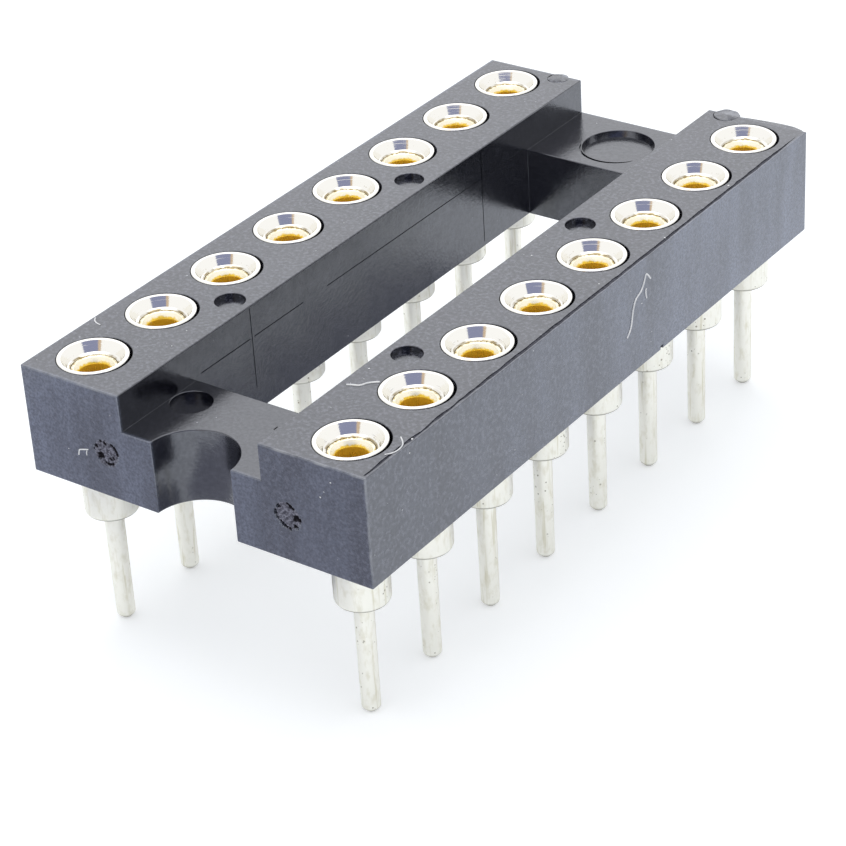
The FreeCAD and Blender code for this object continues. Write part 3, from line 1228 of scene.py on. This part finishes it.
    def witness_lines(self) -> list[Mesh]:
        """The fine lines that the mould's inserts leave on the inner wall of the -X rail."""
        wall = -self.slot_half_width
        half = self.witness_width / 2
        back, front = wall - self.witness_depth, wall + FINE_SPARE
        lines = []
        for start, end in ((-7.1, -5.15), (-5.0, -3.0), (-2.0, 4.95), (5.05, 7.1)):
            low = (back, start, self.witness_height - half)
            lines.append(block(low, (front, end, self.witness_height + half)))
        for y, foot in ((-5.08, 5.2), (5.0, 4.7)):
            lines.append(block((back, y - half, foot), (front, y + half, self.high.z - 0.06)))
        return lines

    def chips(self) -> list[Mesh]:
        """Small dark nicks: two at the notch's front right edge and one low on the outer side."""
        top = self.bridge_top
        side = self.high.x
        return [
            block((0.955, -8.16, top - 0.06), (0.99, -8.01, top + FINE_SPARE)),
            block((1.10, -9.98, top - 0.28), (1.24, -9.93, top - 0.20)),
            block((side - 0.06, 2.42, self.low.z - FINE_SPARE), (side + FINE_SPARE, 2.56, self.low.z + 0.12)),
        ]

    def edge_crease(self) -> Mesh:
        """The hair-fine crease that wanders beside the outer top edge of the +X rail.

        Returns:
            Its closed cutter, which leaves the second finish behind.
        """
        chance = random.Random(7)
        first = self.low.y + 0.12
        last = self.high.y - 0.45
        rings = []
        for step in range(self.crease_steps + 1):
            share = step / self.crease_steps
            rough = 1.0 if share > 0.25 else 2.2
            x = self.high.x - 0.094 - 0.006 * share + rough * chance.uniform(-0.008, 0.008)
            y = first + (last - first) * share
            taper = min(1.0, 12.0 * (1.0 - share) + 0.1)
            half = self.crease_width / 2 * taper * chance.uniform(1.0 - 0.28 * rough, 1.1)
            corners = slot_corners(x, half, self.crease_depth)
            rings.append([(across, y, self.high.z + up) for across, up in corners])
        mesh = lofted("crease", rings)
        mesh.materials.append(self.material)
        mesh.materials.append(self.creased)
        mesh.polygons.foreach_set("material_index", [1] * len(mesh.polygons))
        return mesh

    def end_pips(self) -> list[Mesh]:
        """The low round nubs at the far end, which hang over the end face where the strip was parted."""
        nubs = []
        for nub in END_NUBS:
            top = self.high.z + nub.proud
            foot = top - nub.thickness
            points = [
                (0.0, foot), (nub.radius * 0.55, foot), (nub.radius, top - nub.thickness * 0.4),
                (nub.radius, top - 0.015), (nub.radius - 0.02, top), (0.0, top),
            ]
            mesh = self.turning.turned("nub", points, (nub.x, nub.y), 36)
            for vertex in mesh.vertices:
                spot = vertex.co.copy()
                away = spot - Vector((nub.x, nub.y, spot.z))
                vertex.co += away * 0.14 * noise.noise(Vector((spot.x * 5.0, spot.y * 5.0, 0.0)))
            nubs.append(mesh)
        return nubs

    def nub_grooves(self) -> list[Mesh]:
        """The fine dark grooves round those nubs."""
        grooves = []
        for nub in END_NUBS:
            bottom, above = self.high.z - 0.035, self.high.z + FINE_SPARE
            reach = nub.radius + nub.groove * 0.4
            points = [(0.0, bottom), (reach, bottom), (reach, above), (0.0, above)]
            grooves.append(self.turning.turned("groove", points, (nub.x, nub.y - nub.groove * 0.8), 48))
        return grooves

    def flash(self) -> Mesh:
        """The low burr along the far top edge of the +X rail.

        Returns:
            Its closed mesh, to be added.
        """
        end = self.high.y
        base = end - 0.1
        rings = []
        for drop, reach in ((0.5, 0.0), (0.16, 0.9), (0.035, 1.0), (0.004, 0.7)):
            ring = [(x, base + (0.1 + out) * reach) for x, out in self.burr]
            ring += [(self.burr[-1][0], end - 0.3), (self.burr[0][0], end - 0.3)]
            rings.append([(x, y, self.high.z - drop) for x, y in ring])
        return lofted("flash", rings)

    def gate_pockets(self) -> list[Mesh]:
        """The round pockets that the torn gates sit in, on the near end face."""
        turns = [math.tau * i / 32 for i in range(32)]
        return [lofted("pocket", [
            [(gate.x + POCKET * math.cos(turn), y, gate.z + POCKET * math.sin(turn)) for turn in turns]
            for y in (self.low.y - 0.15, self.low.y + 0.15)
        ]) for gate in GATES]

    def build(self) -> Item:
        """Make the housing and its torn gates.

        Returns:
            The finished housing.
        """
        notch = self.turning.turned("notch", [
            (0.0, self.low.z - SPARE), (self.notch_radius, self.low.z - SPARE),
            (self.notch_radius, self.high.z + SPARE), (0.0, self.high.z + SPARE),
        ], (0.0, self.low.y), 128)
        form = combined(self.rails_and_bridges(), notch, Joining.CUT)
        form = self.softened(form)
        for tool, how in (
            (joined([self.sleeve_holes(), *self.recesses()]), Joining.CUT),
            (joined(self.nub_grooves()), Joining.CUT),
            (self.flash(), Joining.ADD),
            (joined(self.end_pips()), Joining.ADD),
            (joined([*self.chips(), *self.gate_pockets()]), Joining.CUT),
            (joined(self.witness_lines()), Joining.CUT),
        ):
            form = combined(form, tool, how)
        form.materials.clear()
        form.materials.append(self.material)
        form.materials.append(self.creased)
        form = combined(form, self.edge_crease(), Joining.CUT)
        for gate in GATES:
            self.torn_gate(gate)
        replaced = ["housing"]
        return finished("moulded_housing", form, self.material, replaced, self.creased)

    def torn_gate(self, gate: Gate) -> Item:
        """The rough stub that a gate leaves, as a patch of relief that closes its pocket.

        Args:
            gate: Which gate it is.

        Returns:
            The finished piece.
        """
        steps = 92
        flush, back = 0.0015, 0.14
        reach = POCKET + 0.03
        inset = (POCKET - 0.01) / reach
        shape = bmesh.new()
        front = {}
        rear = {}
        for i in range(steps + 1):
            for j in range(steps + 1):
                u = reach * (2 * i / steps - 1)
                v = reach * (2 * j / steps - 1)
                squared = max(abs(u), abs(v))
                length = math.hypot(u, v)
                if length > 0.0:
                    u *= squared / length
                    v *= squared / length
                depth = gate.depth(u, v) * min((reach - squared) / 0.05, 1.0)
                front[i, j] = shape.verts.new((gate.x + u, self.low.y - flush + depth, gate.z + v))
                rear[i, j] = shape.verts.new((gate.x + u * inset, self.low.y + back, gate.z + v * inset))
        for i in range(steps):
            for j in range(steps):
                face = shape.faces.new([front[i + a, j + b] for a, b in ((0, 0), (1, 0), (1, 1), (0, 1))])
                spot = face.calc_center_median()
                rim = 0.35 + 0.05 * noise.noise(spot * 6.0)
                face.material_index = int(math.hypot(spot.x - gate.x, spot.z - gate.z) < rim)
                shape.faces.new([rear[i + a, j + b] for a, b in ((0, 1), (1, 1), (1, 0), (0, 0))])
            for j in (0, steps):
                shape.faces.new((front[i, j], front[i + 1, j], rear[i + 1, j], rear[i, j]))
                shape.faces.new((front[j, i], front[j, i + 1], rear[j, i + 1], rear[j, i]))
        mesh = closed("gate", shape)
        return finished(f"torn_gate_{gate.name}", mesh, self.material, second=self.torn)


@dataclass
class TurnedSleeve:
    """One turned sleeve: solder tail, shoulder, body, and head with its rim and funnel."""

    turning: Turning
    contact: Contact
    material: Material
    tail_radius: float = 0.25
    tail_end_radius: float = 0.24
    tip_radius: float = 0.12
    tip_height: float = 0.12
    tail_length: float = 3.18
    collar_height: float = 0.07
    collar_width: float = 0.02
    shoulder_radius: float = 0.685
    shoulder_round: float = 0.13
    head_height: float = 0.50
    rim_width: float = 0.10
    funnel_depth: float = 0.30
    funnel_flat: float = 0.07
    bore_radius: float = 0.57
    bore_depth: float = 3.55

    def build(self) -> Item:
        """Make the sleeve.

        Returns:
            The finished piece.
        """
        low, high = node_box(self.contact.sleeve)
        head = (high.x - low.x) / 2
        tip = low.z
        top = high.z
        root = tip + self.tail_length
        collar = self.tail_radius + self.collar_width
        foot = top - self.funnel_depth + 0.015
        points = outline([
            Corner(0.0, tip),
            Corner(self.tip_radius, tip, 0.06),
            Corner(self.tail_end_radius, tip + self.tip_height, 0.08),
            Corner(self.tail_radius, root - self.collar_height - 0.02),
            Corner(collar, root - self.collar_height, 0.008),
            Corner(collar, root, 0.01),
            Corner(self.shoulder_radius, root, self.shoulder_round),
            Corner(self.shoulder_radius, top - self.head_height, 0.01),
            Corner(head, top - self.head_height, 0.02),
            Corner(head, top, 0.03),
            Corner(head - self.rim_width, top, 0.02),
            Corner(self.bore_radius + self.funnel_flat, foot + self.funnel_flat * 0.45, 0.04),
            Corner(self.bore_radius, foot, 0.01),
            Corner(self.bore_radius, top - self.bore_depth, 0.05),
            Corner(0.0, top - self.bore_depth),
        ])
        name = f"turned_{self.contact.sleeve}"
        mesh = self.turning.turned(name, points, (self.contact.x, self.contact.y), 96, self.material)
        return finished(name, mesh, self.material, [self.contact.sleeve])


@dataclass
class SpringClip:
    """One spring clip: a collar with a rolled lead-in and throat, and four curved fingers."""

    turning: Turning
    repeats: Repeats
    contact: Contact
    material: Material
    finger: Item
    throat_radius: float = 0.38
    rim_flat: float = 0.07
    lead_in: float = 0.13
    collar_length: float = 0.60

    def build(self) -> Item:
        """Make the clip.

        Returns:
            The finished piece.
        """
        low, high = node_box(self.contact.clip)
        rim = (high.x - low.x) / 2
        top = high.z
        throat_top = top - self.lead_in
        foot = throat_top - self.collar_length
        points = outline([
            Corner(rim, foot + 0.2),
            Corner(rim, top, 0.01),
            Corner(rim - self.rim_flat, top - 0.008, 0.03),
            Corner(self.throat_radius, throat_top, 0.07),
            Corner(self.throat_radius, foot, 0.02),
            Corner(rim, foot, 0.02),
            Corner(rim, foot + 0.2),
        ])
        name = f"spring_{self.contact.clip}"
        place = (self.contact.x, self.contact.y)
        collar = self.turning.turned(name, points, place, 96, self.material)
        fingers = self.repeats.ring.run(name + "_fingers", {
            "Piece": self.finger, "Count": 4, "Axis": (*place, 0.0), "Material": self.material,
        })
        return finished(name, joined([collar, fingers]), self.material, [self.contact.clip])


def finger_shape(top: float, length: float) -> Mesh:
    """One curved finger, which leans in to its grip and flares at its end.

    Args:
        top: The height of its root.
        length: How long it is.

    Returns:
        The closed mesh, on the +X side of the axis.
    """
    across = 8
    along = 18
    half_angle = math.radians(33)
    thickness = 0.06
    root_radius, lean_in, flare = 0.42, 0.24, 0.05
    grip = 0.82
    rings = []
    for j in range(along + 1):
        share = j / along
        lean = math.sin(min(share / grip, 1.0) * math.pi / 2)
        radius = root_radius - lean_in * lean + flare * max(share - grip, 0.0) / (1.0 - grip)
        width = half_angle * (1.0 - 0.25 * share) * root_radius / (radius + 2 * thickness)
        angles = [width * (2 * i / across - 1) for i in range(across + 1)]
        edge = [(radius, angle) for angle in angles]
        edge += [(radius + thickness, angle) for angle in reversed(angles)]
        rings.append([(r * math.cos(a), r * math.sin(a), top - length * share) for r, a in edge])
    return lofted("finger", rings)


class Face(Enum):
    """The faces of the moulding that fibres and specks lie on."""

    TOP = "rails' tops"
    SIDE = "outer side of the +X rail"
    END = "near end face"


@dataclass(frozen=True)
class Fibre:
    """A fibre or scratch: its name, its face, its width, and points on that face that it passes near."""

    name: str
    face: Face
    width: float
    points: tuple[Place, ...]


# The width of the finest fibre.
FINE = 0.026
FIBRES = (
    Fibre("fibre_by_second_sleeve", Face.TOP, FINE * 1.9, (
        (2.28, -6.97), (2.40, -6.90), (2.58, -6.86), (2.67, -6.62), (2.88, -6.48),
    )),
    Fibre("fibre_by_first_sleeve", Face.TOP, FINE * 1.3, (
        (4.73, -8.24), (4.93, -8.40), (5.01, -8.64), (4.98, -8.90), (4.85, -9.03),
    )),
    Fibre("fibre_on_left_rail", Face.TOP, FINE * 1.3, (
        (-5.00, -7.42), (-4.94, -7.53), (-4.80, -7.61), (-4.66, -7.63),
    )),
    Fibre("nick_by_left_gate", Face.END, FINE * 1.3, (
        (-3.52, 5.47), (-3.50, 5.60), (-3.46, 5.63), (-3.33, 5.67), (-3.19, 5.71),
    )),
    Fibre("second_nick_by_left_gate", Face.END, FINE, ((-3.26, 5.53), (-3.27, 5.60), (-3.24, 5.67))),
    Fibre("fibre_on_side", Face.SIDE, FINE * 1.9, (
        (0.81, 5.69), (1.00, 5.84), (1.07, 6.14), (1.13, 6.39), (1.26, 6.61), (1.49, 6.67),
        (1.65, 6.85), (1.72, 7.02), (1.79, 7.08), (1.96, 6.84),
    )),
    Fibre("fibre_branch_on_side", Face.SIDE, FINE * 1.6, ((1.75, 6.66), (1.70, 6.56), (1.77, 6.38))),
)
TOP_SPECKS = ((2.52, 0.50), (4.77, 0.06), (4.91, 2.94), (4.85, 6.26), (5.00, -8.18), (2.30, -6.10))
SIDE_SPECKS = ((-8.81, 5.98), (1.54, 6.33), (-8.40, 7.27))
END_SPECKS = ((3.77, 6.61), (4.10, 7.09), (-3.84, 5.54))


@dataclass
class Lint:
    """The fibres and dust that lie on the moulding."""

    repeats: Repeats
    material: Material
    low: Vector
    high: Vector

    def spot(self, face: Face, first: float, second: float, out: float) -> Point:
        """A place on a face of the moulding.

        Args:
            face: Which face it is.
            first: Its X, or its Y on the side.
            second: Its Z, or its Y on the top.
            out: How far it stands out from the face.

        Returns:
            The place.
        """
        if face is Face.TOP:
            return first, second, self.high.z + out
        if face is Face.SIDE:
            return self.high.x + out, first, second
        return first, self.low.y - out, second

    def fibre(self, fibre: Fibre) -> Item:
        """One fibre, as a thin tube along a smooth line.

        Args:
            fibre: Which fibre it is.

        Returns:
            The finished piece.
        """
        curve = bpy.data.curves.new(fibre.name, "CURVE")
        curve.dimensions = "3D"
        curve.bevel_depth = fibre.width / 2
        curve.bevel_resolution = 2
        curve.use_fill_caps = True
        spline = curve.splines.new("NURBS")
        spline.points.add(len(fibre.points) - 1)
        out = 0.002 if fibre.face is Face.END else 0.004
        for knot, point in zip(spline.points, fibre.points):
            knot.co = (*self.spot(fibre.face, *point, out), 1.0)
        spline.order_u = 3
        spline.use_endpoint_u = True
        spline.resolution_u = 8
        mesh = plain_mesh(linked(fibre.name, curve))
        return finished(fibre.name, mesh, self.material)

    def dust(self, surface: Item) -> Item:
        """Specks of dust over the top and the near side.

        Args:
            surface: The piece that they lie on, in millimetres.

        Returns:
            The finished piece.
        """
        shape = bmesh.new()
        bmesh.ops.create_icosphere(shape, subdivisions=1, radius=1.0)
        for vertex in shape.verts:
            vertex.co.z *= 0.45
            vertex.co.x *= 1.5
        speck = linked("speck", meshed("speck", shape))
        scattered = self.repeats.scatter.run("dust", {
            "Surface": surface, "Piece": speck, "Density": 0.35, "Smallest": 0.005, "Largest": 0.015,
            "Seed": 5, "Material": self.material,
        })
        bpy.data.objects.remove(speck)
        return finished("dust_specks", scattered, self.material)

    def named_specks(self) -> Item:
        """The larger specks that show one by one."""
        spots = [self.spot(Face.TOP, x, y, 0.0) for x, y in TOP_SPECKS]
        spots += [self.spot(Face.SIDE, y, z, -0.012) for y, z in SIDE_SPECKS]
        spots += [self.spot(Face.END, x, z, -0.012) for x, z in END_SPECKS]
        spots.append((self.high.x - 0.03, self.low.y + 0.03, self.low.z + 0.05))
        chance = random.Random(3)
        whole = bmesh.new()
        for spot in spots:
            size = chance.uniform(0.016, 0.029)
            made = bmesh.ops.create_icosphere(whole, subdivisions=2, radius=size)
            for vertex in made["verts"]:
                vertex.co *= chance.uniform(0.75, 1.25)
                vertex.co.z = min(vertex.co.z, 0.015)
                vertex.co += Vector(spot)
        return finished("large_specks", meshed("specks", whole), self.material)

    def build(self) -> None:
        """Lay every fibre and speck."""
        for fibre in FIBRES:
            self.fibre(fibre)
        self.named_specks()
        surface = linked("dusty_faces", self.dusty_faces())
        self.dust(surface)
        bpy.data.objects.remove(surface)

    def dusty_faces(self) -> Mesh:
        """The faces that dust lies on: strips of the rails' tops beside the holes, and the near side."""
        shape = bmesh.new()
        first, last = self.low.y + 0.1, self.high.y - 0.1
        for x0, x1 in ((4.80, 5.02), (2.10, 2.80), (-2.80, -2.10), (-5.02, -4.80)):
            corners = ((x0, first), (x1, first), (x1, last), (x0, last))
            shape.faces.new([shape.verts.new((x, y, self.high.z)) for x, y in corners])
        foot, top = self.low.z + 0.1, self.high.z - 0.1
        corners = ((first, foot), (last, foot), (last, top), (first, top))
        shape.faces.new([shape.verts.new((self.high.x - 0.003, y, z)) for y, z in corners])
        return meshed("dusty_faces", shape)


@dataclass(frozen=True)
class Studio:
    """A pale floor, soft light and the camera."""

    camera_place: Point = (37.37, -50.87, 40.01)
    camera_target: Point = (1.312, -2.826, 4.0)
    camera_roll_degrees: float = -3.604
    lens: float = 119.36
    sensor: float = 36.0
    floor_width: float = 3000.0
    shade_height: float = 0.012
    shade_distance: float = 6.1

    @staticmethod
    def aim(item: Item, place: Point, target: Point = (0.0, 0.0, 5.0)) -> None:
        """Stand an item at a place, facing another, which is just over the floor unless it is given."""
        spot = Vector(place) * METRES_PER_MM
        item.location = spot
        item.rotation_mode = "QUATERNION"
        item.rotation_quaternion = (Vector(target) * METRES_PER_MM - spot).to_track_quat("-Z", "Y")

    def camera(self) -> None:
        """Stand the camera where the photograph was taken from."""
        data = bpy.data.cameras.new("camera")
        data.sensor_width = self.sensor
        data.lens = self.lens
        data.clip_start = 0.002
        data.clip_end = 20.0
        item = linked("camera", data)
        self.aim(item, self.camera_place, self.camera_target)
        roll = Quaternion((0.0, 0.0, 1.0), math.radians(self.camera_roll_degrees))
        item.rotation_quaternion = item.rotation_quaternion @ roll
        bpy.context.scene.camera = item

    def area(self, name: str, place: Point, size: Place, radiance: float) -> None:
        """A rectangular soft lamp that faces the object.

        Args:
            name: The lamp's name.
            place: Where it stands.
            size: Its width and height.
            radiance: How bright its face is, where a white sheet is 1.
        """
        data = bpy.data.lights.new(name, "AREA")
        data.shape = "RECTANGLE"
        data.size = size[0] * METRES_PER_MM
        data.size_y = size[1] * METRES_PER_MM
        data.energy = radiance * math.pi * data.size * data.size_y
        item = linked(name, data)
        self.aim(item, place)
        item.visible_camera = False

    @staticmethod
    def sheet(name: str, size: Place, material: Material) -> Item:
        """A flat rectangle that belongs to the stage.

        Args:
            name: Its name.
            size: Its width and height.
            material: What it is finished in.

        Returns:
            The sheet, at the origin.
        """
        x, y = size[0] / 2 * METRES_PER_MM, size[1] / 2 * METRES_PER_MM
        mesh = bpy.data.meshes.new(name)
        mesh.from_pydata([(-x, -y, 0.0), (x, -y, 0.0), (x, y, 0.0), (-x, y, 0.0)], [], [(0, 1, 2, 3)])
        mesh.materials.append(material)
        item = linked(name, mesh)
        return item

    def card(self, name: str, place: Point, size: Place, colour: Colour, nearest: float = 0.0) -> Item:
        """A card that only shiny surfaces see.

        Args:
            name: The card's name.
            place: Where it stands, facing the object.
            size: Its width and height.
            colour: How it looks in a mirror.
            nearest: What is nearer to it than this doesn't see it.

        Returns:
            The card.
        """
        material = new_material(name)
        nodes = Nodes(material.node_tree)
        path = nodes.add("ShaderNodeLightPath", {})
        mix = nodes.add("ShaderNodeMixShader", {
            0: nodes.sum("GREATER_THAN", path.outputs["Ray Length"], nearest * METRES_PER_MM),
            1: nodes.add("ShaderNodeBsdfTransparent", {}).outputs[0],
            2: nodes.add("ShaderNodeEmission", {"Color": colour}).outputs[0],
        })
        nodes.add("ShaderNodeOutputMaterial", {"Surface": mix.outputs[0]})
        item = self.sheet(name, size, material)
        self.aim(item, place)
        item.visible_camera = False
        item.visible_diffuse = False
        item.visible_shadow = False
        item.visible_transmission = False
        return item

    def shade_card(self, name: str, low: Place, high: Place, colour: Colour) -> None:
        """A card flat on the floor: the floor's shade as the moulding mirrors it, but not the tails.

        Args:
            name: The card's name.
            low: Its lowest corner.
            high: Its highest corner.
            colour: How it looks in a mirror.
        """
        middle = ((low[0] + high[0]) / 2, (low[1] + high[1]) / 2, self.shade_height)
        size = (high[0] - low[0], high[1] - low[1])
        item = self.card(name, middle, size, colour, self.shade_distance)
        item.rotation_quaternion = Quaternion((1.0, 0.0, 0.0, 0.0))

    @staticmethod
    def seen_directly(nodes: Nodes) -> Socket:
        """A value of 1 for rays from the camera, a mirror or glass, and 0 for the rest."""
        path = nodes.add("ShaderNodeLightPath", {}).outputs
        seen = nodes.sum("MAXIMUM", path["Is Camera Ray"], path["Is Glossy Ray"])
        return nodes.sum("MAXIMUM", seen, path["Is Transmission Ray"])

    def surroundings(self, light: float) -> None:
        """White surroundings, which light the object more softly than they look.

        Args:
            light: How strongly they light it.
        """
        world = bpy.data.worlds.new("surroundings")
        bpy.context.scene.world = world
        world.use_nodes = True
        nodes = Nodes(world.node_tree)
        lighting = nodes.add("ShaderNodeBackground", {"Color": (0.97, 0.98, 1.0), "Strength": light})
        seen = nodes.add("ShaderNodeBackground", {"Color": (1.0, 1.0, 1.0)})
        mix = nodes.add("ShaderNodeMixShader", {
            0: self.seen_directly(nodes), 1: lighting.outputs[0], 2: seen.outputs[0],
        })
        nodes.add("ShaderNodeOutputWorld", {"Surface": mix.outputs[0]})

    def floor(self, colour: Colour, lift: Colour) -> None:
        """A wide white floor that keeps the object's shadow.

        Args:
            colour: How much of its light it gives back.
            lift: How much brighter than that it looks.
        """
        material = new_material("white_floor")
        nodes = Nodes(material.node_tree)
        glow = {"Color": lift, "Strength": self.seen_directly(nodes)}
        both = nodes.add("ShaderNodeAddShader", {
            0: nodes.add("ShaderNodeBsdfDiffuse", {"Color": colour}).outputs[0],
            1: nodes.add("ShaderNodeEmission", glow).outputs[0],
        })
        nodes.add("ShaderNodeOutputMaterial", {"Surface": both.outputs[0]})
        self.sheet("floor", (self.floor_width, self.floor_width), material)

    def build(self) -> None:
        """Set up the camera, the floor and the light."""
        bpy.context.scene.view_settings.view_transform = "Standard"
        self.camera()
        self.surroundings(0.85)
        self.floor((0.745, 0.765, 0.78), (0.435, 0.44, 0.445))
        self.area("back_softbox", (-130.0, 172.0, 130.0), (210.0, 150.0), 0.55)
        self.area("top_softbox", (-20.0, 10.0, 260.0), (220.0, 220.0), 1.0)
        self.card("dark_card", (48.0, -56.5, 50.0), (88.0, 56.0), (0.26, 0.28, 0.42))
        self.card("warm_card", (13.0, -81.0, 50.0), (16.0, 56.0), (0.62, 0.48, 0.34))
        self.shade_card("floor_under_housing", (-5.6, -0.8), (5.6, 10.6), (0.37, 0.385, 0.45))
        self.shade_card("floor_under_notch", (-5.6, -10.6), (5.6, -0.8), (0.21, 0.22, 0.28))
        self.shade_card("floor_before_housing", (-15.0, -24.0), (4.0, -12.0), (0.55, 0.56, 0.65))


def main() -> None:
    """Build every piece in order."""
    logging.basicConfig(level=logging.INFO, format="%(name)s: %(message)s")
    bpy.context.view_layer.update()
    contacts = read_contacts()
    turning = Turning()
    repeats = Repeats()
    outer_low, outer_high = node_box("housing")
    plastic = GlossyMoulding(outer_high.x, outer_high.y, outer_high.z, Housing.slot_half_width).material()
    torn = TornMoulding(outer_low.y).material()
    creased = CreasedMoulding().material()
    row = max(contact.x for contact in contacts)
    pitch = abs(contacts[1].y - contacts[0].y)
    rim_low, rim_high = node_box(contacts[0].sleeve)
    tin = TurnedTin(row, pitch, rim_high.z - TurnedSleeve.funnel_depth, TurnedSleeve.tail_length).material()
    gold = SpringGold(row, pitch).material()
    lint = PaleLint().material()

    housing = Housing(turning, repeats, contacts, plastic, torn, creased)
    housing.build()
    clip_low, clip_high = node_box(contacts[0].clip)
    root = clip_high.z - SpringClip.lead_in - SpringClip.collar_length + 0.05
    finger = linked("finger", finger_shape(root, root - clip_low.z))
    for contact in contacts:
        TurnedSleeve(turning, contact, tin).build()
        SpringClip(turning, repeats, contact, gold, finger).build()
    bpy.data.objects.remove(finger)
    Lint(repeats, lint, housing.low, housing.high).build()
    Studio().build()


if __name__ == "__main__":
    main()
